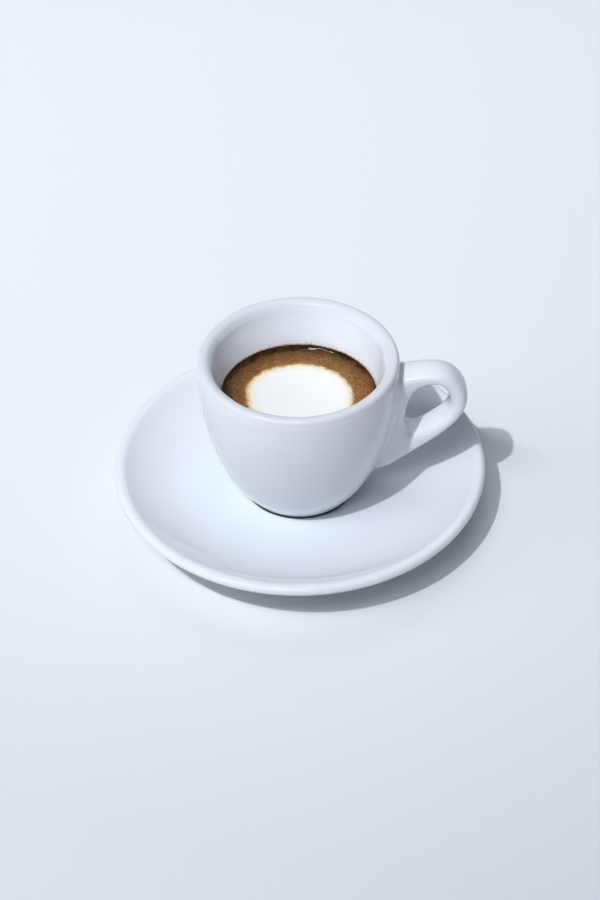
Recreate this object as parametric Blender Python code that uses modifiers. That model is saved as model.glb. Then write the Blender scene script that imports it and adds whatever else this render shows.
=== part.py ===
"""Espresso with a round spot of milk foam, in a thick porcelain cup on its saucer.

Run it with blender --background --python part.py, or from the text editor. Units are metres
and +Z is up. The origin is the centre of the saucer's foot, on the surface it stands on, and
the cup's handle points along +X.
"""
import math

import bmesh
import bpy
from mathutils import Vector

MM = 0.001

# How closely turned pieces follow a circle, and the merge distance of their modifiers
TURN_STEPS = 48
MERGE = 0.00001

# Space left between pieces that touch in the real thing
GAP = 0.3 * MM

# Saucer: a round lip, an upper face that dips to the level seat, a foot ring below
SAUCER_R = 60.0 * MM
LIP_R = 1.6 * MM
LIP_Z = 16.0 * MM
LIP_SLOPE = math.radians(34)
SEAT_Z = 8.0 * MM
SEAT_R = 21.0 * MM
SAUCER_THICK = 3.4 * MM
SAUCER_FACE_STEPS = 11
SAUCER_UNDERSIDE_RADII = (56, 51, 45, 39)
SAUCER_FOOT_OUT_R = 33.0 * MM
SAUCER_FOOT_IN_R = 29.0 * MM
SAUCER_FOOT_ROUND = 0.7 * MM
SAUCER_FOOT_FLARE = 1.4 * MM
SAUCER_HOLLOW_Z = 2.2 * MM

# Cup: foot ring, rounded rim, and the radius and height in mm of points up its outer wall. It
# swells quickly at first and hardly at the top. The bowl's heights are above its floor.
CUP_BASE_Z = SEAT_Z + GAP
CUP_FOOT_R = 18.0 * MM
CUP_FOOT_IN_R = 15.0 * MM
CUP_FOOT_EDGE = 0.4 * MM
CUP_FOOT_BEVEL = 1.0 * MM
CUP_HOLLOW_RISE = 1.4 * MM
OUTER_WALL = ((18.3, 9.2), (22.2, 14.8), (25.3, 21.1), (27.8, 28.4), (30.1, 38.1), (31.3, 47.8))
RIM_R = 31.7 * MM
RIM_Z = 60.1 * MM
RIM_WIDTH = 4.7 * MM
RIM_OUT_ROUND = 1.8 * MM
RIM_IN_ROUND = 2.2 * MM
RIM_JOIN = 1.0 * MM
CUP_FLOOR_Z = 15.4 * MM
BOWL_WALL = ((0.0, 0.0), (7.0, 0.8), (13.8, 4.2), (19.2, 11.8), (22.7, 21.5))

# Drink: the liquid, the crema that floats in it and the milk foam on top
DRINK_Z = 45.5 * MM
DRINK_R = 24.65 * MM
CREMA_R = 22.8 * MM
CREMA_THICK = 2.4 * MM
FOAM_R = 16.8 * MM
FOAM_X = 0.2 * MM
FOAM_Y = -2.8 * MM
FOAM_DEPTH = 1.0 * MM
FOAM_PROUD = 0.3 * MM
FOAM_SIDES = 48

# How the foam's outline is uneven: waves round it, their share of the radius, and their phase
FOAM_WAVES = ((2, 0.012, -0.6), (5, 0.007, 1.0))

# Handle: half its width across the strap, and half the width of its root at the wall
STRAP_HALF_W = 5.1 * MM
ROOT_HALF_W = 8.2 * MM
LOW_ROOT_HALF_W = 6.0 * MM
STRAP_ROUND = 1.9 * MM
STRAP_ROUND_SHARE = 0.3
STRAP_MIDDLE_SHARE = 0.12

# Pairs of points in the plane of the handle, in mm, once round its hole: x and z at the hole,
# then x and z at the outline, and half the width at the outline. Where the outline point is
# inside the wall, the strap widens into its root.
HANDLE_STATIONS = (
    (34.5, 32.2, 32.6, 20.6, STRAP_HALF_W),
    (34.2, 33.2, 27.8, 17.1, LOW_ROOT_HALF_W),
    (33.9, 34.8, 21.5, 16.5, LOW_ROOT_HALF_W),
    (33.6, 38.0, 24.5, 27.0, ROOT_HALF_W),
    (34.2, 41.8, 27.6, 37.0, ROOT_HALF_W),
    (35.6, 45.8, 29.0, 46.0, ROOT_HALF_W),
    (37.2, 48.6, 29.3, 53.6, LOW_ROOT_HALF_W),
    (39.0, 50.0, 34.4, 55.4, STRAP_HALF_W),
    (41.0, 50.7, 39.4, 56.1, STRAP_HALF_W),
    (43.2, 50.7, 44.2, 56.1, STRAP_HALF_W),
    (45.3, 49.5, 48.8, 54.6, STRAP_HALF_W),
    (46.9, 46.9, 52.2, 50.4, STRAP_HALF_W),
    (47.6, 43.5, 53.9, 44.7, STRAP_HALF_W),
    (47.0, 40.1, 52.7, 39.4, STRAP_HALF_W),
    (44.9, 37.3, 49.5, 34.6, STRAP_HALF_W),
    (42.1, 35.0, 45.5, 30.3, STRAP_HALF_W),
    (39.3, 33.0, 41.2, 26.9, STRAP_HALF_W),
    (36.7, 31.8, 37.1, 23.7, STRAP_HALF_W),
)

PORCELAIN_WHITE = (0.80, 0.83, 0.87)
ESPRESSO_BROWN = (0.045, 0.022, 0.010)
CREMA_BROWN = (0.24, 0.12, 0.045)
MILK_WHITE = (0.87, 0.86, 0.84)


def remove_all_objects():
    """Empties the scene without closing the file that runs."""
    for thing in list(bpy.data.objects):
        bpy.data.objects.remove(thing, do_unlink=True)


def new_collection(name):
    made = bpy.data.collections.new(name)
    bpy.context.scene.collection.children.link(made)
    return made


def new_material(name, colour, roughness):
    made = bpy.data.materials.new(name)
    made.use_nodes = True
    shader = made.node_tree.nodes["Principled BSDF"]
    shader.inputs["Base Color"].default_value = (*colour, 1.0)
    shader.inputs["Roughness"].default_value = roughness
    shader.inputs["Metallic"].default_value = 0.0
    made.diffuse_color = (*colour, 1.0)
    return made


def spline(points, steps):
    """A smooth curve through the points, as steps short lines between each pair."""
    padded = [points[0]] + list(points) + [points[-1]]
    curve = [points[0]]
    for a, b, c, d in zip(padded, padded[1:], padded[2:], padded[3:]):
        for step in range(1, steps + 1):
            t = step / steps
            curve.append(tuple(
                0.5 * (2 * q + (r - p) * t + (2 * p - 5 * q + 4 * r - s) * t ** 2
                       + (3 * q - p - 3 * r + s) * t ** 3)
                for p, q, r, s in zip(a, b, c, d)))
    return curve


def arc(centre, radius, start, stop, steps):
    """Points round a circle from one angle to another, in degrees, both ends included."""
    turn = (stop - start) / steps
    angles = [math.radians(start + turn * i) for i in range(steps + 1)]
    return [(centre[0] + radius * math.cos(a), centre[1] + radius * math.sin(a)) for a in angles]


def turned(name, profile, material, collection):
    """Turns a profile of radius and height about Z. It runs down its outer side, top to bottom."""
    sketch = bmesh.new()
    points = [sketch.verts.new((radius, 0.0, height)) for radius, height in profile]
    for start, stop in zip(points, points[1:]):
        sketch.edges.new((start, stop))
    mesh = bpy.data.meshes.new(name)
    sketch.to_mesh(mesh)
    sketch.free()
    piece = bpy.data.objects.new(name, mesh)
    piece.data.materials.append(material)
    collection.objects.link(piece)
    screw = piece.modifiers.new("Turn", "SCREW")
    screw.axis = "Z"
    screw.angle = 2 * math.pi
    screw.steps = TURN_STEPS
    screw.render_steps = TURN_STEPS
    screw.use_merge_vertices = True
    screw.merge_threshold = MERGE
    screw.use_smooth_shade = True
    return piece


def evaluated_copy(piece):
    """The mesh of an object with its modifiers applied."""
    bpy.context.view_layer.update()
    graph = bpy.context.evaluated_depsgraph_get()
    return bpy.data.meshes.new_from_object(piece.evaluated_get(graph), depsgraph=graph)


def combine(piece, other, operation):
    """Applies one exact Boolean to a piece and removes the other object."""
    step = piece.modifiers.new("Combine", "BOOLEAN")
    step.operation = operation
    step.solver = "EXACT"
    step.object = other
    mesh = evaluated_copy(piece)
    piece.modifiers.clear()
    old_mesh = piece.data
    piece.data = mesh
    mesh.name = piece.name
    bpy.data.objects.remove(other, do_unlink=True)
    bpy.data.meshes.remove(old_mesh)
    piece.data.shade_smooth()
    piece.data.set_sharp_from_angle(angle=math.radians(50))


def lip_join():
    """Where the saucer's rising face meets its round lip without a corner."""
    angle = math.pi / 2 + LIP_SLOPE
    return SAUCER_R - LIP_R + LIP_R * math.cos(angle), LIP_Z + LIP_R * math.sin(angle)


def saucer_face_z(radius):
    """Height of the saucer's upper face: level under the cup, then rising faster and faster."""
    join_r, join_z = lip_join()
    run = join_r - SEAT_R
    rise = join_z - SEAT_Z
    power = math.tan(LIP_SLOPE) * run / rise
    return SEAT_Z + rise * (max(radius - SEAT_R, 0.0) / run) ** power


def build_saucer(porcelain, collection):
    join_r, _ = lip_join()
    face = [(0.0, SEAT_Z)]
    for i in range(SAUCER_FACE_STEPS):
        radius = SEAT_R + (join_r - SEAT_R) * i / SAUCER_FACE_STEPS
        face.append((radius, saucer_face_z(radius)))
    lip = arc((SAUCER_R - LIP_R, LIP_Z), LIP_R, 90 + math.degrees(LIP_SLOPE), -70, 9)
    underside = [
        (radius * MM, saucer_face_z(radius * MM) - SAUCER_THICK)
        for radius in SAUCER_UNDERSIDE_RADII
    ]
    foot = [
        (SAUCER_FOOT_OUT_R + SAUCER_FOOT_FLARE, SEAT_Z - SAUCER_THICK - SAUCER_FOOT_ROUND),
        (SAUCER_FOOT_OUT_R, SAUCER_FOOT_ROUND),
        (SAUCER_FOOT_OUT_R - SAUCER_FOOT_ROUND, 0.0),
        (SAUCER_FOOT_IN_R + SAUCER_FOOT_ROUND, 0.0),
        (SAUCER_FOOT_IN_R, SAUCER_FOOT_ROUND),
        (SAUCER_FOOT_IN_R - SAUCER_FOOT_FLARE, SAUCER_HOLLOW_Z),
        (0.0, SAUCER_HOLLOW_Z),
    ]
    return turned("saucer", face + lip + underside + foot, porcelain, collection)


def cup_outer_wall():
    """From the foot up to where the rim's round outer edge starts."""
    wall = [(radius * MM, height * MM) for radius, height in OUTER_WALL]
    return spline(wall + [(RIM_R, RIM_Z - RIM_OUT_ROUND - RIM_JOIN)], 3)


def cup_inner_wall():
    """From the middle of the floor inside up to the rim: a deep round bowl in a thick wall."""
    bowl = [(radius * MM, CUP_FLOOR_Z + rise * MM) for radius, rise in BOWL_WALL]
    rim_start = (RIM_R - RIM_WIDTH - 0.1 * MM, RIM_Z - RIM_IN_ROUND - RIM_JOIN)
    return spline(bowl + [(DRINK_R, DRINK_Z), rim_start], 2)


def cup_body(porcelain, collection):
    rim_in = arc((RIM_R - RIM_WIDTH + RIM_IN_ROUND, RIM_Z - RIM_IN_ROUND), RIM_IN_ROUND, 175, 90, 4)
    rim_out = arc((RIM_R - RIM_OUT_ROUND, RIM_Z - RIM_OUT_ROUND), RIM_OUT_ROUND, 90, 0, 4)
    foot = [
        (CUP_FOOT_R, CUP_BASE_Z + CUP_FOOT_EDGE),
        (CUP_FOOT_R - CUP_FOOT_EDGE, CUP_BASE_Z),
        (CUP_FOOT_IN_R, CUP_BASE_Z),
        (CUP_FOOT_IN_R - CUP_FOOT_BEVEL, CUP_BASE_Z + CUP_HOLLOW_RISE),
        (0.0, CUP_BASE_Z + CUP_HOLLOW_RISE),
    ]
    profile = cup_inner_wall() + rim_in + rim_out + cup_outer_wall()[::-1] + foot
    return turned("cup", profile, porcelain, collection)


def strap_section(hole_point, outline_point, outer_half):
    """Ten points round the strap, where a line across it joins the hole to the outline."""
    across = outline_point - hole_point
    length = across.length
    across.normalize()
    corner = min(STRAP_ROUND, STRAP_ROUND_SHARE * length)
    middle_half = STRAP_HALF_W + STRAP_MIDDLE_SHARE * (outer_half - STRAP_HALF_W)
    side = [
        (0.0, STRAP_HALF_W - STRAP_ROUND),
        (corner, STRAP_HALF_W),
        (0.5 * length, middle_half),
        (length - corner, outer_half),
        (length, outer_half - STRAP_ROUND),
    ]
    ring = [(along, -half) for along, half in side] + [(along, half) for along, half in side[::-1]]
    return [hole_point + across * along + Vector((0, half, 0)) for along, half in ring]


def build_handle(porcelain, collection):
    """A strap bent round the finger hole, smoothed from a coarse cage, its root in the wall."""
    cage = bmesh.new()
    rings = []
    for hole_x, hole_z, outline_x, outline_z, half in HANDLE_STATIONS:
        hole_point = Vector((hole_x, 0, hole_z)) * MM
        outline_point = Vector((outline_x, 0, outline_z)) * MM
        rings.append([cage.verts.new(p) for p in strap_section(hole_point, outline_point, half)])
    for ring, following in zip(rings, rings[1:] + rings[:1]):
        for i in range(len(ring)):
            j = (i + 1) % len(ring)
            cage.faces.new((ring[i], ring[j], following[j], following[i]))
    bmesh.ops.recalc_face_normals(cage, faces=cage.faces)
    mesh = bpy.data.meshes.new("handle")
    cage.to_mesh(mesh)
    cage.free()
    handle = bpy.data.objects.new("handle", mesh)
    handle.data.materials.append(porcelain)
    collection.objects.link(handle)
    smooth = handle.modifiers.new("Smooth", "SUBSURF")
    smooth.levels = 1
    smooth.render_levels = 1
    return handle


def build_cup(porcelain, collection):
    cup = cup_body(porcelain, collection)
    handle = build_handle(porcelain, collection)
    combine(cup, handle, "UNION")
    return cup


def inset(profile, distance):
    """Moves a wall's profile inwards, square to itself, and keeps its first point on the axis."""
    moved = []
    for i, (radius, height) in enumerate(profile):
        before = profile[max(i - 1, 0)]
        after = profile[min(i + 1, len(profile) - 1)]
        run, rise = after[0] - before[0], after[1] - before[1]
        length = math.hypot(run, rise)
        moved.append((max(radius - distance * rise / length, 0.0), height + distance * run / length))
    moved[0] = (0.0, moved[0][1])
    return moved


def build_espresso(liquid, collection):
    """The liquid fills the bowl up to the level shown, with a round dip where the crema floats."""
    dip_r = CREMA_R + GAP
    dip_z = DRINK_Z - CREMA_THICK - GAP
    wall = [point for point in inset(cup_inner_wall(), GAP) if point[1] < DRINK_Z - GAP]
    top = [(0.0, dip_z), (dip_r, dip_z), (dip_r, DRINK_Z), (DRINK_R - GAP, DRINK_Z)]
    return turned("espresso", top + wall[::-1], liquid, collection)


def foam_outline(spread):
    """The edge of the foam, not quite round, moved outwards by spread."""
    points = []
    for i in range(FOAM_SIDES):
        angle = 2 * math.pi * i / FOAM_SIDES
        waves = sum(share * math.cos(count * angle + phase) for count, share, phase in FOAM_WAVES)
        radius = FOAM_R * (1 + waves) + spread
        points.append((FOAM_X + radius * math.cos(angle), FOAM_Y + radius * math.sin(angle)))
    return points


def foam_plate(name, spread, low, high, material, collection):
    """A flat plate with the foam's outline, between two heights."""
    shape = bpy.data.curves.new(name, "CURVE")
    shape.dimensions = "2D"
    shape.fill_mode = "BOTH"
    shape.extrude = 0.5 * (high - low)
    edge = shape.splines.new("POLY")
    outline = foam_outline(spread)
    edge.points.add(len(outline) - 1)
    for point, (x, y) in zip(edge.points, outline):
        point.co = (x, y, 0.0, 1.0)
    edge.use_cyclic_u = True
    curve = bpy.data.objects.new(name, shape)
    curve.location.z = 0.5 * (low + high)
    collection.objects.link(curve)
    mesh = evaluated_copy(curve)
    weld = bmesh.new()
    weld.from_mesh(mesh)
    bmesh.ops.remove_doubles(weld, verts=weld.verts, dist=MERGE)
    bmesh.ops.recalc_face_normals(weld, faces=weld.faces)
    weld.to_mesh(mesh)
    weld.free()
    plate = bpy.data.objects.new(name, mesh)
    plate.matrix_world = curve.matrix_world.copy()
    if not plate.data.materials:
        plate.data.materials.append(material)
    collection.objects.link(plate)
    bpy.data.objects.remove(curve, do_unlink=True)
    plate.name = name
    return plate


def build_crema(crema_material, collection, cutters):
    """A floating disc of crema with a shallow dip for the milk foam."""
    low = DRINK_Z - CREMA_THICK
    profile = [(0.0, DRINK_Z), (CREMA_R, DRINK_Z), (CREMA_R, low), (0.0, low)]
    crema = turned("crema", profile, crema_material, collection)
    dip_low = DRINK_Z - FOAM_DEPTH - GAP
    dip = foam_plate("foam_dip", GAP, dip_low, DRINK_Z + FOAM_DEPTH, crema_material, cutters)
    dip.hide_render = True
    dip.display_type = "WIRE"
    combine(crema, dip, "DIFFERENCE")
    return crema


def main():
    remove_all_objects()
    collection = new_collection("espresso_cup_and_saucer")
    cutters = new_collection("cutters")
    porcelain = new_material("porcelain", PORCELAIN_WHITE, 0.12)
    saucer_porcelain = new_material("saucer_porcelain", PORCELAIN_WHITE, 0.12)
    liquid = new_material("espresso", ESPRESSO_BROWN, 0.08)
    crema = new_material("crema", CREMA_BROWN, 0.45)
    milk = new_material("milk_foam", MILK_WHITE, 0.5)
    build_saucer(saucer_porcelain, collection)
    build_cup(porcelain, collection)
    build_espresso(liquid, collection)
    build_crema(crema, collection, cutters)
    foam_plate("milk_foam", 0.0, DRINK_Z - FOAM_DEPTH, DRINK_Z + FOAM_PROUD, milk, collection)


main()
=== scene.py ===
"""Looks for the espresso in its cup and saucer.

The cup, the saucer and the layers of the drink are rebuilt as fine meshes where their solids
are, from the same driving sizes. A small lamp and a long soft panel stand high at the front left,
as the photograph's shadows tell, and two faint fills light the shadows. Lengths are in metres,
+Z is up and the handle points along +X.
"""

import math

import bmesh
import bpy
import numpy as np
from mathutils import Matrix, Vector
from mathutils.bvhtree import BVHTree


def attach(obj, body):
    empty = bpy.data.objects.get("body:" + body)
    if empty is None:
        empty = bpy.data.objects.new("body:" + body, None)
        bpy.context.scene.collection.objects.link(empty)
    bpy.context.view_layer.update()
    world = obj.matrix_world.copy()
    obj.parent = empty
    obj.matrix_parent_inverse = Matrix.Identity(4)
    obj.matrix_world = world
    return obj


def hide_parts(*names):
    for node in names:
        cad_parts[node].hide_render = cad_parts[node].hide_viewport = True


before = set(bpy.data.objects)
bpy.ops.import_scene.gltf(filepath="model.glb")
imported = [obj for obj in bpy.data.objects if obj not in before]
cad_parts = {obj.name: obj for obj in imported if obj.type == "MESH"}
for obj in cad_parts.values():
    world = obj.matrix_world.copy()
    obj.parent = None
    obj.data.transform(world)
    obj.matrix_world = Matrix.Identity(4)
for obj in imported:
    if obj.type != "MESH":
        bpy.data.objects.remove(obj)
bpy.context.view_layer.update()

MM = 0.001

# Camera: an 85 mm lens that looks down on the cup. The aim is the photo's pixel that shows the
# origin, and the photo's middle is where the lens points.
CAMERA_DISTANCE = 0.7009
CAMERA_ELEVATION = math.radians(42.68)
CAMERA_ROLL = math.radians(-0.81)
LENS_MM = 85.0
SENSOR_MM = 36.0
PHOTO_HEIGHT = 900
PHOTO_MIDDLE = Vector((300.0, 450.0))
ORIGIN_PIXEL = Vector((300.25, 499.01))

# Saucer, as its solid, but with a softer rounding on the inner side of its lip. The outer side's
# rounding runs between two angles in degrees, and the underside goes on from there at these radii
# in mm.
SAUCER_R = 60.0 * MM
LIP_R = 1.6 * MM
LIP_Z = 16.0 * MM
LIP_SLOPE = math.radians(34)
LIP_IN_R = 4.0 * MM
LIP_OUTER_ARC = (84, -66)
UNDERSIDE_RADII = (57, 54, 51, 48, 45, 42, 39)
SEAT_Z = 8.0 * MM
SEAT_R = 21.0 * MM
SAUCER_THICK = 3.4 * MM
SAUCER_FOOT_OUT_R = 33.0 * MM
SAUCER_FOOT_IN_R = 29.0 * MM
SAUCER_FOOT_ROUND = 0.7 * MM
SAUCER_FOOT_FLARE = 1.4 * MM
SAUCER_FOOT_FILLET = 0.56 * MM
SAUCER_FOOT_FILLET_Z = 2.6 * MM
SAUCER_HOLLOW_Z = 2.2 * MM

# Cup, as its solid, but with a rim that rolls more softly into the bowl, and with a small step
# under its wall, below which the foot ring stands back in shade. Radius and height in mm of
# points up its outer wall, up its bowl and over its rim.
CUP_BASE_Z = 8.3 * MM
CUP_FOOT_R = 18.0 * MM
CUP_FOOT_IN_R = 14.6 * MM
FOOT_STEP = 0.75 * MM
FOOT_CORNER_Z = 0.85 * FOOT_STEP
FOOT_CORNER_BACK = 1.2 * MM
FOOT_BACK = 1.4 * MM
CUP_HOLLOW_RISE = 1.4 * MM
OUTER_WALL = ((18.3, 9.2), (22.2, 14.8), (25.3, 21.1), (27.8, 28.4), (30.1, 38.1), (31.3, 47.8))
BOWL_WALL = ((0.0, 15.4), (7.0, 16.2), (13.8, 19.6), (19.2, 27.2), (22.7, 36.9))
RIM = (
    (26.85, 56.7), (27.05, 57.6), (27.45, 58.65), (28.1, 59.5), (29.0, 59.97), (30.0, 60.1),
    (30.75, 59.98), (31.25, 59.55), (31.55, 58.8), (31.7, 57.4),
)

# Handle, as its solid: x and z in mm at the hole and at the outline, and half the width there.
# The strap's edges are rounded by STRAP_ROUND or by a share of its thickness, whichever is less,
# and halfway through it is wider than at the hole by a share of the difference.
STRAP_HALF_W = 5.1 * MM
ROOT_HALF_W = 8.2 * MM
LOW_ROOT_HALF_W = 6.0 * MM
STRAP_ROUND = 1.9 * MM
STRAP_ROUND_SHARE = 0.3
STRAP_MIDDLE_SHARE = 0.12
HANDLE_STATIONS = (
    (34.5, 32.2, 32.6, 20.6, STRAP_HALF_W),
    (34.2, 33.2, 27.8, 17.1, LOW_ROOT_HALF_W),
    (33.9, 34.8, 21.5, 16.5, LOW_ROOT_HALF_W),
    (33.6, 38.0, 24.5, 27.0, ROOT_HALF_W),
    (34.2, 41.8, 27.6, 37.0, ROOT_HALF_W),
    (35.6, 45.8, 29.0, 46.0, ROOT_HALF_W),
    (37.2, 48.6, 29.3, 53.6, LOW_ROOT_HALF_W),
    (39.0, 50.0, 34.4, 55.4, STRAP_HALF_W),
    (41.0, 50.7, 39.4, 56.1, STRAP_HALF_W),
    (43.2, 50.7, 44.2, 56.1, STRAP_HALF_W),
    (45.3, 49.5, 48.8, 54.6, STRAP_HALF_W),
    (46.9, 46.9, 52.2, 50.4, STRAP_HALF_W),
    (47.6, 43.5, 53.9, 44.7, STRAP_HALF_W),
    (47.0, 40.1, 52.7, 39.4, STRAP_HALF_W),
    (44.9, 37.3, 49.5, 34.6, STRAP_HALF_W),
    (42.1, 35.0, 45.5, 30.3, STRAP_HALF_W),
    (39.3, 33.0, 41.2, 26.9, STRAP_HALF_W),
    (36.7, 31.8, 37.1, 23.7, STRAP_HALF_W),
)

# How widely the handle flares into the wall: at its top edge and inside the hole, and at its
# sides. It widens over a drop below the top, and over a distance from the handle's middle plane.
FLARE_TIGHT = 2.5 * MM
FLARE_WIDE = 4.5 * MM
FLARE_TOP_Z = 54.0 * MM
FLARE_DROP = 10.0 * MM
FLARE_SIDE = (3.0 * MM, 8.0 * MM)

# The handle can be near a point only beyond this x and within this y
NEAR_HANDLE_X = 14.0 * MM
NEAR_HANDLE_Y = 22.0 * MM

# Fineness of the meshes. The cup's body is turned in fewer steps, as it is remeshed on a grid.
# Its points are then drawn onto its true form in a few passes, with steps that LEAST_SLOPE keeps
# short. Nothing as short as NO_LENGTH gives a direction, NOT_ZERO is safe to divide by, and
# POINTS_AT_ONCE saves memory.
TURN_STEPS = 320
BODY_TURN_STEPS = 160
LEVEL_STEPS = 6
DISH_STEPS = 40
CUP_GRID = 0.56 * MM
HANDLE_LEVELS = 4
DRAW_PASSES = 4
LEAST_SLOPE = 0.2
MERGE = 0.00001
NO_LENGTH = 1e-7
NOT_ZERO = 1e-9
POINTS_AT_ONCE = 8000
LIQUID_RINGS = 26
CREMA_RINGS = 70
FOAM_RINGS = 60

# Drink: where its solid's top meets the wall, the height of its surface, how far the liquid
# climbs at the wall, the circle within which crema covers it, the layer of crema, and the foam as
# two overlapping circles, each by its x, its y and its radius
DRINK_Z = 45.5 * MM
DRINK_R = 24.65 * MM
SURFACE_Z = 44.1 * MM
CLIMB = 1.3 * MM
CLIMB_WIDTH = 2.2 * MM
CREMA_R = 24.2 * MM
CREMA_X = 0.33 * MM
CREMA_Y = -1.27 * MM
CREMA_LAYER_R = 22.2 * MM
CREMA_LOW_Z = 43.1 * MM
CREMA_LOW_INSET = 0.1 * MM
CREMA_RELIEF = 0.05 * MM
FOAM_CIRCLES = ((0.45 * MM, -0.55 * MM, 17.25 * MM), (-3.2 * MM, 2.0 * MM, 13.9 * MM))
FOAM_LOW_Z = 43.6 * MM
FOAM_LOW_INSET = 0.3 * MM
FOAM_PROUD = 0.25 * MM
FOAM_RISE = 4.0 * MM
FOAM_ROUNDNESS = 0.7
FOAM_RELIEF = 0.03 * MM

# Under the foam the crema's top lies lower, from this far within the foam's outline on
UNDER_FOAM_DROP = 0.15 * MM
UNDER_FOAM_SPAN = (0.4 * MM, 2.0 * MM)

# The liquid: how far its top reaches into the wall, its gap to the bowl lower down, the dip that
# it makes under the crema, and the heights in mm where its side follows the bowl
INTO_WALL = 0.35 * MM
BOWL_GAP = 0.02 * MM
DIP_MIDDLE_R = 4.0 * MM
DIP_INSET = 0.25 * MM
DIP_SLANT = 0.05 * MM
DIP_LOW_Z = CREMA_LOW_Z - 0.1 * MM
DIP_EDGE_Z = SURFACE_Z - 0.4 * MM
LIQUID_HEIGHTS = (44.0, 41.0, 37.0, 33.0, 29.0, 25.0, 21.0, 18.0, 16.4)

# Unevenness round the drink: a seed, how many waves go round, their size, and how fast it falls
LAYER_WAVES = (3, (3, 5, 8, 13, 21), 0.08 * MM, 0.55)
FOAM_WAVES = (11, (9, 15, 23, 37), 0.12 * MM, 0.4)
CLIMB_WIDTH_WAVES = (21, (5, 9, 14, 22), 0.045, 0.3)
CLIMB_WAVES = (8, (17, 27, 43), 0.035 * MM, 0.2)

# Unevenness of a foam's top: wavelength in mm and strength, with some waves of each
RELIEF_WAVES = ((9.0, 0.5), (5.0, 0.4), (2.4, 0.35), (1.3, 0.3), (0.8, 0.25))
RELIEF_EACH = 4


def spline(points, steps):
    """A smooth curve through the points, as steps short lines between each pair."""
    padded = [points[0]] + list(points) + [points[-1]]
    curve = [points[0]]
    for a, b, c, d in zip(padded, padded[1:], padded[2:], padded[3:]):
        for step in range(1, steps + 1):
            t = step / steps
            curve.append(tuple(
                0.5 * (2 * q + (r - p) * t + (2 * p - 5 * q + 4 * r - s) * t ** 2
                       + (3 * q - p - 3 * r + s) * t ** 3)
                for p, q, r, s in zip(a, b, c, d)))
    return curve


def arc(centre, radius, start, stop, steps):
    """Points round a circle from one angle to another, in degrees, both ends included."""
    turn = (stop - start) / steps
    angles = [math.radians(start + turn * i) for i in range(steps + 1)]
    return [(centre[0] + radius * math.cos(a), centre[1] + radius * math.sin(a)) for a in angles]


def smoothstep(low, high, value):
    """A share that rises softly from 0 at low to 1 at high."""
    share = np.clip((value - low) / (high - low), 0.0, 1.0)
    return share * share * (3 - 2 * share)


def waves(angle, parts):
    """A sum of waves round a circle. Each part is how many, their size and their phase."""
    return sum(size * np.cos(count * angle + phase) for count, size, phase in parts)


def random_waves(seed, counts, size, fall):
    """Waves of the given counts with random phases, each smaller as its count grows."""
    draw = np.random.default_rng(seed)
    return [(n, size * (counts[0] / n) ** fall, draw.uniform(0, 2 * math.pi)) for n in counts]


def new_object(name, mesh):
    piece = bpy.data.objects.new(name, mesh)
    bpy.context.scene.collection.objects.link(piece)
    return piece


def applied(piece):
    """Replaces an object's mesh by its evaluated one and drops its modifiers."""
    bpy.context.view_layer.update()
    graph = bpy.context.evaluated_depsgraph_get()
    mesh = bpy.data.meshes.new_from_object(piece.evaluated_get(graph), depsgraph=graph)
    old = piece.data
    piece.modifiers.clear()
    piece.data = mesh
    bpy.data.meshes.remove(old)
    mesh.name = piece.name
    return piece


def coordinates(mesh):
    flat = np.empty(len(mesh.vertices) * 3)
    mesh.vertices.foreach_get("co", flat)
    return flat.reshape(-1, 3)


def turned(name, profile, steps):
    """Turns a profile of radius and height about Z. It runs down its outer side."""
    sketch = bmesh.new()
    points = [sketch.verts.new((radius, 0.0, height)) for radius, height in profile]
    for start, stop in zip(points, points[1:]):
        sketch.edges.new((start, stop))
    mesh = bpy.data.meshes.new(name)
    sketch.to_mesh(mesh)
    sketch.free()
    piece = new_object(name, mesh)
    screw = piece.modifiers.new("Turn", "SCREW")
    screw.axis = "Z"
    screw.angle = 2 * math.pi
    screw.steps = screw.render_steps = steps
    screw.use_merge_vertices = True
    screw.merge_threshold = MERGE
    screw.use_smooth_shade = True
    return applied(piece)


def ring_piece(name, rings):
    """Joins closed rings of points, all alike in count. The first and last close to a point."""
    count = len(rings[0])
    net = bmesh.new()
    first = net.verts.new(np.mean(rings[0], axis=0))
    last = net.verts.new(np.mean(rings[-1], axis=0))
    rows = [[net.verts.new(point) for point in ring] for ring in rings]
    for i in range(count):
        j = (i + 1) % count
        net.faces.new((first, rows[0][i], rows[0][j]))
        net.faces.new((last, rows[-1][j], rows[-1][i]))
        for row, following in zip(rows, rows[1:]):
            net.faces.new((row[i], following[i], following[j], row[j]))
    bmesh.ops.recalc_face_normals(net, faces=net.faces)
    mesh = bpy.data.meshes.new(name)
    net.to_mesh(mesh)
    net.free()
    mesh.shade_smooth()
    return new_object(name, mesh)


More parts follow.
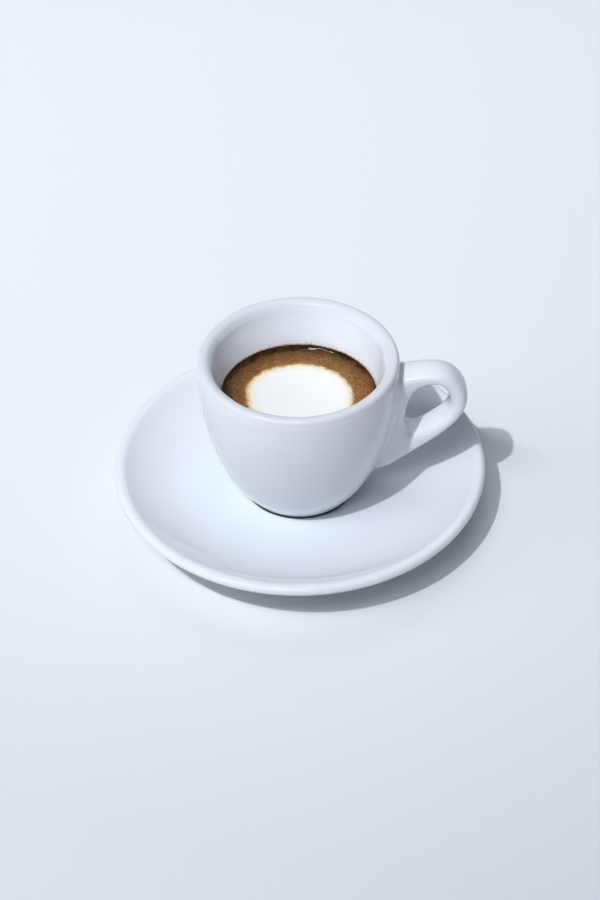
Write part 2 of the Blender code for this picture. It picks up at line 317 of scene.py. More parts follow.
def saucer_profile():
    """The whole section of the saucer, from the middle of its top to the middle below."""
    angle = math.pi / 2 + LIP_SLOPE
    top = (SAUCER_R - LIP_R, LIP_Z + LIP_R)
    join_r = top[0] + LIP_IN_R * math.cos(angle)
    join_z = top[1] - LIP_IN_R * (1 - math.sin(angle))
    run, rise = join_r - SEAT_R, join_z - SEAT_Z
    power = math.tan(LIP_SLOPE) * run / rise

    def face_z(radius):
        return SEAT_Z + rise * (max(radius - SEAT_R, 0.0) / run) ** power

    level = [(SEAT_R * i / LEVEL_STEPS, SEAT_Z) for i in range(LEVEL_STEPS)]
    dish_radii = [SEAT_R + run * i / DISH_STEPS for i in range(DISH_STEPS)]
    dish = [(radius, face_z(radius)) for radius in dish_radii]
    lip = arc((top[0], top[1] - LIP_IN_R), LIP_IN_R, 90 + math.degrees(LIP_SLOPE), 90, steps=12)
    lip += arc((SAUCER_R - LIP_R, LIP_Z), LIP_R, *LIP_OUTER_ARC, steps=24)
    under = [(radius * MM, face_z(radius * MM) - SAUCER_THICK) for radius in UNDERSIDE_RADII]
    under.append((SAUCER_FOOT_OUT_R + 2 * SAUCER_FOOT_FLARE, SEAT_Z - SAUCER_THICK))
    fillet = [(SAUCER_FOOT_OUT_R + SAUCER_FOOT_FILLET, SAUCER_FOOT_FILLET_Z)]
    foot = arc((SAUCER_FOOT_OUT_R - SAUCER_FOOT_ROUND, SAUCER_FOOT_ROUND),
               SAUCER_FOOT_ROUND, 0, -90, steps=6)
    foot += arc((SAUCER_FOOT_IN_R + SAUCER_FOOT_ROUND, SAUCER_FOOT_ROUND),
                SAUCER_FOOT_ROUND, -90, -180, steps=6)
    hollow = [(SAUCER_FOOT_IN_R - SAUCER_FOOT_FLARE, SAUCER_HOLLOW_Z), (0.0, SAUCER_HOLLOW_Z)]
    return level + dish + lip + spline(under, steps=4) + fillet + foot + hollow


def bowl_wall():
    """Radius and height up the inside of the cup, from its middle to where the rim begins."""
    drink = (DRINK_R / MM, DRINK_Z / MM)
    return spline([(r * MM, z * MM) for r, z in BOWL_WALL + (drink, RIM[0])], steps=8)


def cup_profile():
    """The whole section of the cup without its handle, from the floor inside to the hollow."""
    inner = bowl_wall()
    rim = spline([(radius * MM, height * MM) for radius, height in RIM], steps=6)
    wall = [(radius * MM, height * MM) for radius, height in OUTER_WALL + RIM[-1:]]
    outer = spline(wall, steps=8)[::-1]
    foot = [
        (CUP_FOOT_R, CUP_BASE_Z + FOOT_STEP),
        (CUP_FOOT_R - FOOT_CORNER_BACK, CUP_BASE_Z + FOOT_CORNER_Z),
        (CUP_FOOT_R - FOOT_BACK, CUP_BASE_Z),
        (CUP_FOOT_IN_R, CUP_BASE_Z),
        (CUP_FOOT_IN_R - CUP_HOLLOW_RISE, CUP_BASE_Z + CUP_HOLLOW_RISE),
        (0.0, CUP_BASE_Z + CUP_HOLLOW_RISE),
    ]
    return inner + rim[1:-1] + outer + foot


def strap_section(hole_point, outline_point, outer_half):
    """Ten points round the strap, where a line across it joins the hole to the outline."""
    across = outline_point - hole_point
    length = across.length
    across.normalize()
    corner = min(STRAP_ROUND, STRAP_ROUND_SHARE * length)
    middle_half = STRAP_HALF_W + STRAP_MIDDLE_SHARE * (outer_half - STRAP_HALF_W)
    side = [
        (0.0, STRAP_HALF_W - STRAP_ROUND),
        (corner, STRAP_HALF_W),
        (0.5 * length, middle_half),
        (length - corner, outer_half),
        (length, outer_half - STRAP_ROUND),
    ]
    ring = [(along, -half) for along, half in side] + [(along, half) for along, half in side[::-1]]
    return [hole_point + across * along + Vector((0, half, 0)) for along, half in ring]


def handle_form():
    """The handle alone, as a fine closed mesh smoothed from the cage of its stations."""
    cage = bmesh.new()
    rings = []
    for hole_x, hole_z, outline_x, outline_z, half in HANDLE_STATIONS:
        hole_point = Vector((hole_x, 0, hole_z)) * MM
        outline_point = Vector((outline_x, 0, outline_z)) * MM
        rings.append([cage.verts.new(p) for p in strap_section(hole_point, outline_point, half)])
    for ring, following in zip(rings, rings[1:] + rings[:1]):
        for i in range(len(ring)):
            j = (i + 1) % len(ring)
            cage.faces.new((ring[i], ring[j], following[j], following[i]))
    bmesh.ops.recalc_face_normals(cage, faces=cage.faces)
    mesh = bpy.data.meshes.new("handle_form")
    cage.to_mesh(mesh)
    cage.free()
    form = new_object("handle_form", mesh)
    smooth = form.modifiers.new("Smooth", "SUBSURF")
    smooth.levels = smooth.render_levels = HANDLE_LEVELS
    return applied(form)


def wall_distance(points, profile):
    """Signed distance from the cup's body, negative inside it, and its outward direction."""
    start, stop = np.array(profile[:-1]), np.array(profile[1:])
    step = stop - start
    radius = np.hypot(points[:, 0], points[:, 1])
    flat = np.stack([radius, points[:, 2]], axis=1)
    distance = np.empty(len(flat))
    toward = np.empty((len(flat), 2))
    for first in range(0, len(flat), POINTS_AT_ONCE):
        part = slice(first, first + POINTS_AT_ONCE)
        offset = flat[part, None] - start
        share = np.clip((offset * step).sum(2) / (step * step).sum(1), 0.0, 1.0)
        away = offset - share[..., None] * step
        length = np.linalg.norm(away, axis=2)
        nearest = length.argmin(1)
        rows = np.arange(len(nearest))
        # A point is inside where a line from it away from the axis crosses the section an odd
        # number of times
        above = (start[:, 1] > flat[part, None, 1]) != (stop[:, 1] > flat[part, None, 1])
        rise = np.where(step[:, 1] == 0, 1.0, step[:, 1])
        crossing = start[:, 0] + step[:, 0] * (flat[part, None, 1] - start[:, 1]) / rise
        inside = (above & (crossing > flat[part, None, 0])).sum(1) % 2 == 1
        sign = np.where(inside, -1.0, 1.0)
        # On the section itself the direction is across it
        normal = np.stack([step[nearest, 1], -step[nearest, 0]], axis=1)
        normal /= np.linalg.norm(normal, axis=1)[:, None]
        near = away[rows, nearest] * sign[:, None]
        size = length[rows, nearest]
        far = size > NO_LENGTH
        direction = np.where(far[:, None], near / np.maximum(size, NOT_ZERO)[:, None], -normal)
        distance[part] = sign * size
        toward[part] = direction
    safe = np.maximum(radius, NOT_ZERO)
    outward = np.stack([
        toward[:, 0] * points[:, 0] / safe, toward[:, 0] * points[:, 1] / safe, toward[:, 1],
    ], axis=1)
    return distance, outward


def flare_width(points):
    """The width over which wall and handle blend, at each point."""
    down = smoothstep(0.0, FLARE_DROP, FLARE_TOP_Z - points[:, 2])
    side = smoothstep(*FLARE_SIDE, np.abs(points[:, 1]))
    return FLARE_TIGHT + (FLARE_WIDE - FLARE_TIGHT) * down * side


def blended_distance(points, profile, handle_tree):
    """Signed distance from cup and handle together and its outward direction. It has a smooth
    flare where they meet."""
    wall, outward = wall_distance(points, profile)
    width = flare_width(points)
    for i in np.flatnonzero(points[:, 0] > NEAR_HANDLE_X):
        if abs(points[i, 1]) > NEAR_HANDLE_Y:
            continue
        point = Vector(points[i])
        spot, normal, _, gap = handle_tree.find_nearest(point)
        away = point - spot
        side = -1.0 if away.dot(normal) < 0 else 1.0
        handle = side * gap
        difference = handle - wall[i]
        if difference >= width[i]:
            continue
        direction = away * (side / gap) if gap > NO_LENGTH else normal
        if difference <= -width[i]:
            wall[i], outward[i] = handle, direction
            continue
        share = 0.5 + 0.5 * difference / width[i]
        wall[i] = handle + (wall[i] - handle) * share - width[i] * share * (1 - share)
        outward[i] = outward[i] * share + np.array(direction) * (1 - share)
    return wall, outward


def build_cup(glaze):
    """Body and handle as one skin: remeshed together, then drawn onto their blended form."""
    profile = cup_profile()
    body = turned("cup_glazed", profile, BODY_TURN_STEPS)
    handle = handle_form()
    corners = [vertex.co.copy() for vertex in handle.data.vertices]
    faces = [tuple(face.vertices) for face in handle.data.polygons]
    tree = BVHTree.FromPolygons(corners, faces)
    joined = bmesh.new()
    joined.from_mesh(body.data)
    joined.from_mesh(handle.data)
    joined.to_mesh(body.data)
    joined.free()
    bpy.data.objects.remove(handle, do_unlink=True)
    remesh = body.modifiers.new("Grid", "REMESH")
    remesh.mode = "VOXEL"
    remesh.voxel_size = CUP_GRID
    cup = applied(body)
    points = coordinates(cup.data)
    for _ in range(DRAW_PASSES):
        distance, outward = blended_distance(points, profile, tree)
        slope = (outward * outward).sum(1)
        points -= outward * (distance / np.maximum(slope, LEAST_SLOPE))[:, None]
    _, outward = blended_distance(points, profile, tree)
    outward /= np.linalg.norm(outward, axis=1)[:, None]
    cup.data.vertices.foreach_set("co", points.ravel())
    cup.data.update()
    cup.data.shade_smooth()
    cup.data.normals_split_custom_set_from_vertices(outward)
    finish_piece(cup, glaze, "cup")


def build_saucer(glaze):
    saucer = turned("saucer_glazed", saucer_profile(), TURN_STEPS)
    finish_piece(saucer, glaze, "saucer")


def ring_angles():
    return np.linspace(0, 2 * math.pi, TURN_STEPS, endpoint=False)


def circle(radius, height):
    """A ring of points. The radius and the height may be one number or one for each point."""
    angle = ring_angles()
    heights = np.zeros_like(angle) + height
    return np.stack([radius * np.cos(angle), radius * np.sin(angle), heights], axis=1)


def bowl_radius(height):
    """Radius of the bowl's wall at a height."""
    wall = np.array(bowl_wall())
    return np.interp(height, wall[:, 1], wall[:, 0])


def layer_edge(angle):
    """Radius where the layer of crema ends. The dark liquid's colour covers that seam."""
    return CREMA_LAYER_R + waves(angle, random_waves(*LAYER_WAVES))


def foam_edge(angle):
    """How far the foam reaches from the cup's axis: the further of its two circles."""
    reaches = []
    for x, y, radius in FOAM_CIRCLES:
        along = x * np.cos(angle) + y * np.sin(angle)
        across = x * np.sin(angle) - y * np.cos(angle)
        reaches.append(along + np.sqrt(radius ** 2 - across ** 2))
    return np.maximum(*reaches)


def surface_height(angle, wall_gap):
    """Height of the liquid. It rises unevenly where it clings to the wall."""
    width = CLIMB_WIDTH * (1 + waves(angle, random_waves(*CLIMB_WIDTH_WAVES)))
    ripple = waves(angle, random_waves(*CLIMB_WAVES))
    share = 1 - smoothstep(0.0, width, wall_gap)
    return SURFACE_Z + (CLIMB + ripple) * share


def build_espresso(liquid):
    """The liquid: it dips under the crema and climbs to the wall all round."""
    angle = ring_angles()
    dip = layer_edge(angle) - DIP_INSET
    rings = [circle(DIP_MIDDLE_R, DIP_LOW_Z), circle(dip, DIP_LOW_Z), circle(dip, DIP_EDGE_Z)]
    for share in np.linspace(0.0, 1.0, LIQUID_RINGS):
        radius = (dip + DIP_SLANT) * (1 - share) + (DRINK_R + INTO_WALL) * share
        rings.append(circle(radius, surface_height(angle, np.maximum(DRINK_R - radius, 0.0))))
    for height in LIQUID_HEIGHTS:
        rings.append(circle(bowl_radius(height * MM) - BOWL_GAP, height * MM))
    piece = ring_piece("espresso_liquid", rings)
    finish_piece(piece, liquid, "espresso")


def relief(points, size, seed):
    """Uneven height for points of a foam: a few long soft waves and many short ones."""
    draw = np.random.default_rng(seed)
    height = np.zeros(len(points))
    for wavelength, share in RELIEF_WAVES:
        for _ in range(RELIEF_EACH):
            turn = draw.uniform(0, 2 * math.pi)
            phase = draw.uniform(0, 2 * math.pi)
            along = points[:, 0] * math.cos(turn) + points[:, 1] * math.sin(turn)
            height += share * np.sin(2 * math.pi * along / (wavelength * MM) + phase)
    return size * height / RELIEF_EACH


def foam_gap(points):
    """How far points lie inside the foam's outline, negative outside it."""
    angle = np.arctan2(points[:, 1], points[:, 0])
    return foam_edge(angle) - np.hypot(points[:, 0], points[:, 1])


def build_crema(material):
    """The crema: uneven on top, level at its edge, and a little lower under the foam."""
    angle = ring_angles()
    edge = layer_edge(angle)
    rings = [circle(2 * MM, SURFACE_Z - UNDER_FOAM_DROP)]
    for share in np.linspace(0.12, 0.99, CREMA_RINGS):
        ring = circle(edge * share, SURFACE_Z)
        under = smoothstep(*UNDER_FOAM_SPAN, foam_gap(ring))
        within_edge = smoothstep(1.0, 0.9, share)
        uneven = relief(ring, size=CREMA_RELIEF, seed=5)
        ring[:, 2] += uneven * within_edge - UNDER_FOAM_DROP * under
        rings.append(ring)
    rings.append(circle(edge, SURFACE_Z - 0.02 * MM))
    rings.append(circle(edge - CREMA_LOW_INSET, CREMA_LOW_Z))
    piece = ring_piece("crema_layer", rings)
    finish_piece(piece, material, "crema")


def build_foam(material):
    """The spot of milk foam: it swells gently above the crema from its ragged edge inward."""
    angle = ring_angles()
    edge = foam_edge(angle) + waves(angle, random_waves(*FOAM_WAVES))
    rings = []
    for share in np.linspace(0.03, 0.99, FOAM_RINGS):
        ring = circle(edge * share, SURFACE_Z)
        gap = foam_gap(ring)
        rise = FOAM_PROUD * smoothstep(0.0, FOAM_RISE, gap) ** FOAM_ROUNDNESS
        uneven = relief(ring, size=FOAM_RELIEF, seed=8)
        ring[:, 2] += rise + uneven * smoothstep(0.0, 1.5 * MM, gap)
        rings.append(ring)
    rings.append(circle(edge, SURFACE_Z - 0.05 * MM))
    rings.append(circle(edge - FOAM_LOW_INSET, FOAM_LOW_Z))
    piece = ring_piece("milk_foam_spot", rings)
    finish_piece(piece, material, "milk_foam")


def finish_piece(piece, material, node):
    """Gives a piece its material and ties it to the model."""
    piece.data.materials.clear()
    piece.data.materials.append(material)
    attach(piece, "root")
    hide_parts(node)


def socket(sockets, identifier):
    return next(found for found in sockets if found.identifier == identifier)


def colour_between(tree, share, first, second):
    """A colour between two others, each of them a socket or three numbers."""
    made = tree.nodes.new("ShaderNodeMix")
    made.data_type = "RGBA"
    tree.links.new(share, socket(made.inputs, "Factor_Float"))
    for identifier, value in (("A_Color", first), ("B_Color", second)):
        if isinstance(value, bpy.types.NodeSocket):
            tree.links.new(value, socket(made.inputs, identifier))
        else:
            socket(made.inputs, identifier).default_value = (*value, 1.0)
    return socket(made.outputs, "Result_Color")


class Graph:
    """Short calls for one material's nodes."""

    def __init__(self, name):
        self.material = bpy.data.materials.new(name)
        self.material.use_nodes = True
        self.tree = self.material.node_tree
        self.shader = self.tree.nodes["Principled BSDF"]
        self.place = self.node("ShaderNodeTexCoord").outputs["Object"]

    def node(self, kind, inputs=None, **settings):
        made = self.tree.nodes.new(kind)
        for key, value in settings.items():
            setattr(made, key, value)
        self.fill(made, inputs or {})
        return made

    def fill(self, made, inputs):
        """Links each input whose value is a socket, and sets the others."""
        for key, value in inputs.items():
            if isinstance(value, bpy.types.NodeSocket):
                self.tree.links.new(value, made.inputs[key])
            else:
                made.inputs[key].default_value = value

    def math(self, operation, first, second):
        made = self.node("ShaderNodeMath", {0: first, 1: second}, operation=operation)
        return made.outputs[0]

    def noise(self, scale, detail=2.0, rough=0.5, place=None):
        made = self.node("ShaderNodeTexNoise", {
            "Vector": place or self.place, "Scale": scale, "Detail": detail, "Roughness": rough})
        return made.outputs["Fac"]

    def cells(self, scale):
        """Distance from the middle of the nearest cell."""
        made = self.node("ShaderNodeTexVoronoi", {"Vector": self.place, "Scale": scale})
        return made.outputs["Distance"]

    def span(self, value, low, high, out_low=0.0, out_high=1.0):
        """Maps a value from one range to another, without passing its ends."""
        made = self.node("ShaderNodeMapRange", {
            "Value": value, "From Min": low, "From Max": high,
            "To Min": out_low, "To Max": out_high})
        return made.outputs["Result"]

    def mix(self, share, first, second):
        return colour_between(self.tree, share, first, second)

    def bump(self, height, depth, below=None):
        """Relief of a depth in metres."""
        inputs = {"Height": height, "Strength": 1.0, "Distance": depth}
        if below:
            inputs["Normal"] = below
        return self.node("ShaderNodeBump", inputs).outputs["Normal"]

    def axis(self, letter):
        parts = self.node("ShaderNodeSeparateXYZ", {"Vector": self.place})
        return parts.outputs[letter]

    def swirl(self, around, outward):
        """A place that changes slowly round the cup's axis and fast away from it."""
        flat = self.node("ShaderNodeVectorMath", {0: self.place, 1: (1.0, 1.0, 0.0)},
                         operation="MULTIPLY").outputs[0]
        facing = self.node("ShaderNodeVectorMath", {0: flat}, operation="NORMALIZE").outputs[0]
        slow = self.node("ShaderNodeVectorMath", {0: facing, 1: (around, around, 0.0)},
                         operation="MULTIPLY").outputs[0]
        parts = self.node("ShaderNodeSeparateXYZ", {"Vector": slow})
        fast = self.math("MULTIPLY", self.radius_from(0, 0), outward)
        joined = self.node("ShaderNodeCombineXYZ", {
            "X": parts.outputs["X"], "Y": parts.outputs["Y"], "Z": fast})
        return joined.outputs[0]

    def radius_from(self, x, y):
        """Distance from an upright line."""
        moved = self.node("ShaderNodeVectorMath", {0: self.place, 1: (-x, -y, 0.0)},
                          operation="ADD").outputs[0]
        flat = self.node("ShaderNodeVectorMath", {0: moved, 1: (1.0, 1.0, 0.0)},
                         operation="MULTIPLY").outputs[0]
        return self.node("ShaderNodeVectorMath", {0: flat}, operation="LENGTH").outputs["Value"]


# The glaze outside and on the saucer; paler in the bowl, which is painted light, and a little
# greyer along the rim's top, which is painted shade. Each pair is where a change begins and ends.
GLAZE = (0.789, 0.812, 0.854)
GLAZE_UNEVEN = 0.985
BOWL_PAINTED_LIGHT_GLAZE = (0.845, 0.878, 0.935)
BOWL_PAINTED_LIGHT_R = (28.4 * MM, 27.2 * MM)
BOWL_PAINTED_LIGHT_Z = (30.0 * MM, 32.0 * MM)
RIM_PAINTED_SHADE_GLAZE = (0.700, 0.724, 0.768)
RIM_PAINTED_SHADE_Z = (57.6 * MM, 59.6 * MM)

# Dried coffee on the bowl's wall: a ragged line at the drink, and flecks above it on the side
# towards the handle
STAIN_BROWN = (0.36, 0.20, 0.075)
STAIN_STRENGTH = 0.9
STAIN_Z = SURFACE_Z + CLIMB
STAIN_LEVEL = 0.36
STAIN_RAGGED = 2.1 * MM
STAIN_LINE = (-0.16 * MM, 0.10 * MM)
STAIN_BOWL_R = (27.6 * MM, 27.2 * MM)
STAIN_BOWL_Z = (30.0 * MM, 31.0 * MM)
FLECK_HEIGHT = (1.9 * MM, 0.5 * MM)
FLECK_SIDE = (8.0 * MM, 20.0 * MM)
FLECK_LEVELS = (0.56, 0.63)

# A grey ring on the saucer's seat round the cup's foot: painted shade where the foot meets the seat
SEAT_PAINTED_SHADE = (0.12, 0.13, 0.145)
SEAT_PAINTED_SHADE_R = (CUP_FOOT_R + 0.15 * MM, CUP_FOOT_R - 0.10 * MM)
SEAT_PAINTED_SHADE_Z = (SEAT_Z - 1.0 * MM, SEAT_Z - 0.5 * MM)


def wall_stain(g):
    """Share of dried coffee on the bowl's wall."""
    height = g.math("SUBTRACT", g.axis("Z"), STAIN_Z)
    uneven = g.math("SUBTRACT", g.noise(scale=1700, detail=4, rough=0.75), STAIN_LEVEL)
    ragged = g.math("MULTIPLY", uneven, STAIN_RAGGED)
    line = g.span(g.math("SUBTRACT", ragged, height), *STAIN_LINE, 0.0, STAIN_STRENGTH)
    toward_handle = g.math("ADD", g.math("MULTIPLY", g.axis("X"), 0.8), g.axis("Y"))
    low = g.math("MULTIPLY", g.span(height, *FLECK_HEIGHT), g.span(toward_handle, *FLECK_SIDE))
    specks = g.span(g.noise(scale=2300, detail=2, rough=0.6), *FLECK_LEVELS)
    flecks = g.math("MULTIPLY", specks, low)
    bowl = g.math("MULTIPLY", g.span(g.radius_from(0.0, 0.0), *STAIN_BOWL_R),
                  g.span(g.axis("Z"), *STAIN_BOWL_Z))
    return g.math("MULTIPLY", g.math("MAXIMUM", line, flecks), bowl)


def glaze_material(name, on_cup=False):
    """Glossy white glaze over porcelain, very slightly uneven as fired glaze is. On the cup it is
    stained, paler in the bowl as painted light and greyer along the rim's top as painted shade; on
    the saucer's seat a grey ring is painted shade."""
    g = Graph(name)
    patches = g.span(g.noise(scale=45, detail=3), 0.35, 0.65)
    tone = g.mix(patches, GLAZE, [part * GLAZE_UNEVEN for part in GLAZE])
    rough = g.span(g.noise(scale=260, detail=4), 0.3, 0.7, 0.055, 0.10)
    radius = g.radius_from(0.0, 0.0)
    height = g.axis("Z")
    if on_cup:
        stain = wall_stain(g)
        # Painted light: the bowl's glaze is paler and bluer than outside, standing in for light
        # within the cup
        inside = g.math("MULTIPLY", g.span(radius, *BOWL_PAINTED_LIGHT_R), g.span(height, *BOWL_PAINTED_LIGHT_Z))
        tone = g.mix(inside, tone, BOWL_PAINTED_LIGHT_GLAZE)
        # Painted shade: the glaze is greyer along the rim's top
        tone = g.mix(g.span(height, *RIM_PAINTED_SHADE_Z), tone, RIM_PAINTED_SHADE_GLAZE)
        tone = g.mix(stain, tone, STAIN_BROWN)
        rough = g.math("ADD", rough, g.math("MULTIPLY", stain, 0.25))
    else:
        # Painted shade: a grey ring on the saucer's seat round the cup's foot
        seat_painted_shade = g.math("MULTIPLY", g.span(radius, *SEAT_PAINTED_SHADE_R), g.span(height, *SEAT_PAINTED_SHADE_Z))
        tone = g.mix(seat_painted_shade, tone, SEAT_PAINTED_SHADE)
    relief_long = g.bump(g.noise(scale=90, detail=1), 0.012 * MM)
    relief_fine = g.bump(g.noise(scale=700, detail=2), 0.0012 * MM, relief_long)
    g.fill(g.shader, {"Base Color": tone, "Roughness": rough, "Normal": relief_fine,
                      "IOR": 1.5, "Specular IOR Level": 0.5})
    return g.material


# The drink's colours, from the open liquid at the wall over the crema to the foam
LIQUID_DARK = (0.020, 0.008, 0.002)
LIQUID_BROWN = (0.070, 0.028, 0.007)
DARK_CREMA = (0.085, 0.034, 0.009)
MID_CREMA = (0.204, 0.086, 0.022)
LIGHT_CREMA = (0.33, 0.160, 0.050)
GOLD_FOAM = (0.64, 0.44, 0.21)
CREAM_FOAM = (0.80, 0.75, 0.63)
WHITE_FOAM = (0.82, 0.815, 0.80)

# How the crema's tone is made up, and the side on which it is darker, which is painted shade from the
# cup's wall
SPECKS_SHARE = 0.62
PATCHES_SHARE = 0.18
STREAKS_SHARE = 0.20
PAINTED_SHADE_SIDE_X = (2.0 * MM, -18.0 * MM)
PAINTED_SHADE_SIDE = 0.045

# Where the colours change, as distances from the foam's outline: beyond it, and then into it
FOAM_GLOW = (2.4 * MM, 0.0)
GOLD_SPAN = (0.0, -0.8 * MM)
CREAM_SPAN = (-0.6 * MM, -1.9 * MM)
WHITE_SPAN = (-1.9 * MM, -4.4 * MM)

# Where the crema darkens towards the wall, and where it opens to bare liquid
EDGE_SPAN = (CREMA_R - 3.2 * MM, CREMA_R - 0.6 * MM)
OPEN_SPAN = (CREMA_R - 0.7 * MM, CREMA_R + 0.35 * MM)


def crema_colour(g):
    """Brown of the crema: fine specks over soft patches, in streaks that run round the cup."""
    streaks = g.noise(scale=1.0, detail=3, rough=0.6, place=g.swirl(14.0, 900.0))
    specks = g.noise(scale=1900, detail=2, rough=0.8)
    patches = g.noise(scale=330, detail=3, rough=0.6)
    tone = g.math("ADD", g.math("MULTIPLY", specks, SPECKS_SHARE),
                  g.math("MULTIPLY", patches, PATCHES_SHARE))
    tone = g.math("ADD", tone, g.math("MULTIPLY", streaks, STREAKS_SHARE))
    # Painted shade: the crema is darker towards -X, where the cup's wall shades it
    tone = g.math("SUBTRACT", tone, g.span(g.axis("X"), *PAINTED_SHADE_SIDE_X, 0.0, PAINTED_SHADE_SIDE))
    colour = g.mix(g.span(tone, 0.40, 0.49), DARK_CREMA, MID_CREMA)
    colour = g.mix(g.span(tone, 0.50, 0.60), colour, LIGHT_CREMA)
    pits = g.math("MULTIPLY", g.span(g.cells(scale=1100), 0.10, 0.22, 0.9, 0.0),
                  g.span(g.noise(scale=500, detail=2), 0.45, 0.6))
    return g.mix(pits, colour, DARK_CREMA)


def ragged_edge(g, fine, fine_size, broad, broad_size):
    """An unevenness in metres, as often above zero as below: fine noise over broad noise."""
    both = g.math("ADD", g.math("MULTIPLY", fine, fine_size), g.math("MULTIPLY", broad, broad_size))
    return g.math("SUBTRACT", both, (fine_size + broad_size) / 2)


def drink_look(g):
    """Colour, roughness and the share of open liquid at each point of the drink's surface."""
    crema = crema_colour(g)
    beyond = [g.math("SUBTRACT", g.radius_from(x, y), radius) for x, y, radius in FOAM_CIRCLES]
    foam_r = g.math("MINIMUM", *beyond)
    feather = ragged_edge(g, g.noise(scale=1500, detail=3, rough=0.65), 2.2 * MM,
                          g.noise(scale=380, detail=2, rough=0.5), 1.4 * MM)
    foam_r = g.math("ADD", foam_r, feather)
    colour = g.mix(g.span(foam_r, *FOAM_GLOW, 0.0, 0.35), crema, LIGHT_CREMA)
    colour = g.mix(g.span(foam_r, *GOLD_SPAN), colour, GOLD_FOAM)
    colour = g.mix(g.span(foam_r, *CREAM_SPAN), colour, CREAM_FOAM)
    colour = g.mix(g.span(foam_r, *WHITE_SPAN), colour, WHITE_FOAM)
    rim_r = g.radius_from(CREMA_X, CREMA_Y)
    ragged = ragged_edge(g, g.noise(scale=1900, detail=4, rough=0.7), 2.0 * MM,
                         g.noise(scale=260, detail=2, rough=0.5), 2.4 * MM)
    rim_r = g.math("ADD", rim_r, ragged)
    colour = g.mix(g.span(rim_r, *EDGE_SPAN, 0.0, 0.6), colour, DARK_CREMA)
    open_liquid = g.span(rim_r, *OPEN_SPAN)
    streaks = g.noise(scale=1.0, detail=3, rough=0.6, place=g.swirl(9.0, 1500.0))
    dark = g.mix(g.span(streaks, 0.42, 0.68), LIQUID_DARK, LIQUID_BROWN)
    colour = g.mix(open_liquid, colour, dark)
    matte = g.span(g.noise(scale=1100, detail=2), 0.3, 0.7, 0.34, 0.55)
    rough = g.math("ADD", g.math("MULTIPLY", matte, g.math("SUBTRACT", 1.0, open_liquid)), 0.04)
    return colour, rough, open_liquid


def drink_material(name, foamy=False):
    """The drink's look for one of its layers. On the foam its relief is lower, and light sinks in."""
    g = Graph(name)
    colour, rough, open_liquid = drink_look(g)
    covered = g.math("SUBTRACT", 1.0, open_liquid)
    bubbles = g.math("MULTIPLY", g.span(g.cells(scale=1300), 0.0, 0.3), covered)
    grain = g.math("MULTIPLY", g.noise(scale=2600, detail=3, rough=0.6), covered)
    pit_depth, grain_depth = (0.01 * MM, 0.025 * MM) if foamy else (0.05 * MM, 0.05 * MM)
    relief_pits = g.bump(bubbles, pit_depth)
    relief_grain = g.bump(grain, grain_depth, relief_pits)
    g.fill(g.shader, {"Base Color": colour, "Roughness": rough, "Normal": relief_grain,
                      "IOR": 1.34, "Specular IOR Level": 0.4})
    if foamy:
        g.fill(g.shader, {"Subsurface Weight": 0.15, "Subsurface Radius": (0.9, 0.7, 0.5),
                          "Subsurface Scale": 0.6 * MM})
    return g.material


# The table is paler towards the back, which is painted light. It glows faintly beyond the lamp's
# beam, out of the photograph's view, so that it stays pale behind the cup from every side.
TABLE_HALF = 3.0
TABLE_FRONT_PAINTED_DIM = (0.725, 0.731, 0.742)
TABLE_BACK_PAINTED_LIGHT = (0.915, 0.917, 0.925)
TABLE_PAINTED_LIGHT_Y = (-0.25, 0.30)
GLOW_CENTRE = (0.3, 1.2)
GLOW_SPAN = (1.38, 1.80)
GLOW_STRENGTH = 0.33
GLOW_COLOUR = (0.93, 0.965, 1.0, 1.0)


def floor_material():
    g = Graph("table")
    # Painted light: the table is paler towards the back
    tone = g.mix(g.span(g.axis("Y"), *TABLE_PAINTED_LIGHT_Y), TABLE_FRONT_PAINTED_DIM, TABLE_BACK_PAINTED_LIGHT)
    rough = g.span(g.noise(scale=120, detail=3), 0.3, 0.7, 0.5, 0.6)
    glow = g.span(g.radius_from(*GLOW_CENTRE), *GLOW_SPAN, 0.0, GLOW_STRENGTH)
    g.fill(g.shader, {"Base Color": tone, "Roughness": rough, "Emission Strength": glow,
                      "Emission Color": GLOW_COLOUR})
    return g.material


def build_floor():
    net = bmesh.new()
    bmesh.ops.create_grid(net, x_segments=8, y_segments=8, size=TABLE_HALF)
    mesh = bpy.data.meshes.new("table")
    net.to_mesh(mesh)
    net.free()
    floor = new_object("table", mesh)
    floor.data.materials.append(floor_material())


def make_camera():
    back = Vector((0.0, -math.cos(CAMERA_ELEVATION), math.sin(CAMERA_ELEVATION)))
    up = Vector((0.0, math.sin(CAMERA_ELEVATION), math.cos(CAMERA_ELEVATION)))
    right = Vector((1.0, 0.0, 0.0))
    focal = LENS_MM / SENSOR_MM * PHOTO_HEIGHT
    off = ORIGIN_PIXEL - PHOTO_MIDDLE
    aim = Vector((0.0, 0.0, 1.0)).rotation_difference(Vector((off.x / focal, off.y / focal, 1.0)))
    looking = Matrix((right, -up, -back))
    to_camera = aim.to_matrix() @ Matrix.Rotation(CAMERA_ROLL, 3, "Z") @ looking
    flip = Matrix.Diagonal((1.0, -1.0, -1.0))
    data = bpy.data.cameras.new("camera")
    data.lens = LENS_MM
    data.sensor_width = SENSOR_MM
    camera = bpy.data.objects.new("camera", data)
    bpy.context.scene.collection.objects.link(camera)
    camera.matrix_world = Matrix.LocRotScale(
        back * CAMERA_DISTANCE, (to_camera.transposed() @ flip).to_quaternion(), None)
    bpy.context.scene.camera = camera


# Lamp: its height, how far its light runs for each metre down, which the photograph's shadows
# tell, and where its beam is aimed
LAMP_HEIGHT = 1.78
LAMP_RUN = Vector((0.371, 0.531, -1.0))
LAMP_AIM = Vector((-0.02, 0.60, 0.0))
LAMP_CONE = math.radians(50)
LAMP_RADIUS = 0.022
LAMP_POWER = 122.0
LAMP_COLOUR = (0.925, 0.967, 1.0)

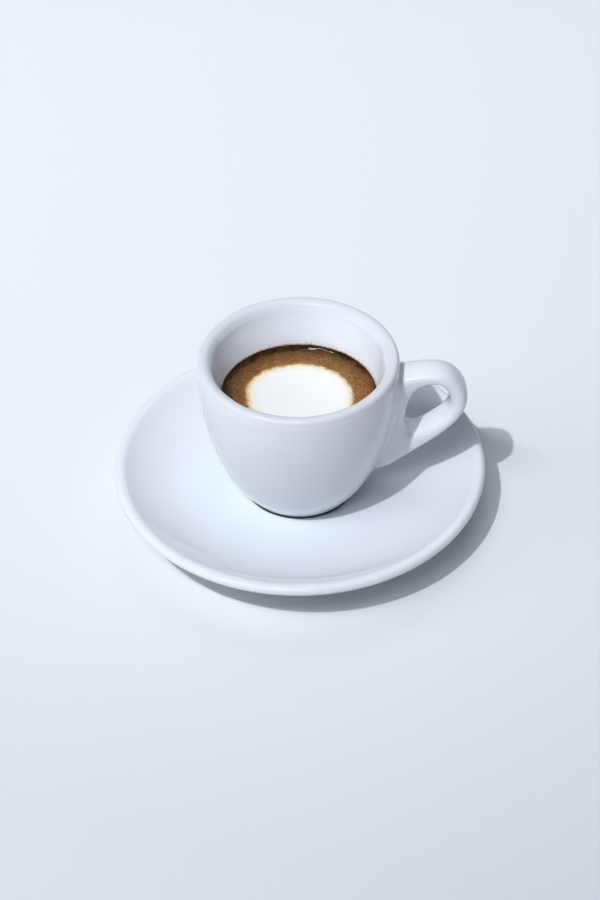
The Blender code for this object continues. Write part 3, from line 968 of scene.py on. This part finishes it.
# A long soft panel beside the lamp, which widens its shadows and draws the highlights, and two
# broad fills, from the left and from behind
PANEL_PLACE = Vector((-0.57, -0.94, 1.83))
PANEL_SIZE = (1.4, 0.085)
PANEL_POWER = 17.0
FILL_PLACES = (Vector((-1.9, -0.3, 1.3)), Vector((0.2, 1.3, 2.0)))
FILL_SIZE = (1.3, 1.0)
FILL_POWERS = (8.0, 7.5)
SOFT_COLOUR = (0.93, 0.97, 1.0)
SOFT_AIM = Vector((0.0, 0.0, 0.03))

# The room: paler above and behind the cup than on the camera's side. Its tone runs from dark to
# pale as the share of a direction that points that way grows.
SKY_PALE = (0.108, 0.132, 0.16)
SKY_DARK = (0.036, 0.045, 0.055)
SKY_TOWARD = (-0.10, 0.32, 0.88)
SKY_SPAN = (-0.2, 0.9)


def area_light(name, size, power):
    panel = bpy.data.lights.new(name, "AREA")
    panel.shape = "RECTANGLE"
    panel.size, panel.size_y = size
    panel.energy = power
    panel.color = SOFT_COLOUR
    return panel


def aim_light(light, place, target):
    lamp = bpy.data.objects.new(light.name, light)
    bpy.context.scene.collection.objects.link(lamp)
    lamp.location = place
    lamp.rotation_mode = "QUATERNION"
    lamp.rotation_quaternion = (target - place).to_track_quat("-Z", "Y")
    return lamp


def make_lights():
    place = -LAMP_RUN * LAMP_HEIGHT
    key = bpy.data.lights.new("lamp", "SPOT")
    key.energy = LAMP_POWER
    key.color = LAMP_COLOUR
    key.shadow_soft_size = LAMP_RADIUS
    key.spot_size = LAMP_CONE
    key.spot_blend = 1.0
    aim_light(key, place, LAMP_AIM).visible_glossy = False
    aim_light(area_light("panel", PANEL_SIZE, PANEL_POWER), PANEL_PLACE, SOFT_AIM)
    for place, power in zip(FILL_PLACES, FILL_POWERS):
        fill = aim_light(area_light("fill", FILL_SIZE, power), place, SOFT_AIM)
        fill.visible_glossy = False
    make_room()
    bpy.context.scene.view_settings.view_transform = "Standard"


def make_room():
    world = bpy.data.worlds.new("studio")
    world.use_nodes = True
    tree = world.node_tree
    direction = tree.nodes.new("ShaderNodeTexCoord").outputs["Generated"]
    toward = tree.nodes.new("ShaderNodeVectorMath")
    toward.operation = "DOT_PRODUCT"
    toward.inputs[1].default_value = SKY_TOWARD
    tree.links.new(direction, toward.inputs[0])
    share = tree.nodes.new("ShaderNodeMapRange")
    share.interpolation_type = "SMOOTHSTEP"
    share.inputs["From Min"].default_value, share.inputs["From Max"].default_value = SKY_SPAN
    tree.links.new(toward.outputs["Value"], share.inputs["Value"])
    colour = colour_between(tree, share.outputs["Result"], SKY_DARK, SKY_PALE)
    tree.links.new(colour, tree.nodes["Background"].inputs["Color"])
    bpy.context.scene.world = world


def main():
    build_saucer(glaze_material("saucer_porcelain"))
    build_cup(glaze_material("porcelain", on_cup=True))
    build_espresso(drink_material("espresso"))
    build_crema(drink_material("crema"))
    build_foam(drink_material("milk_foam", foamy=True))
    build_floor()
    make_camera()
    make_lights()


main()
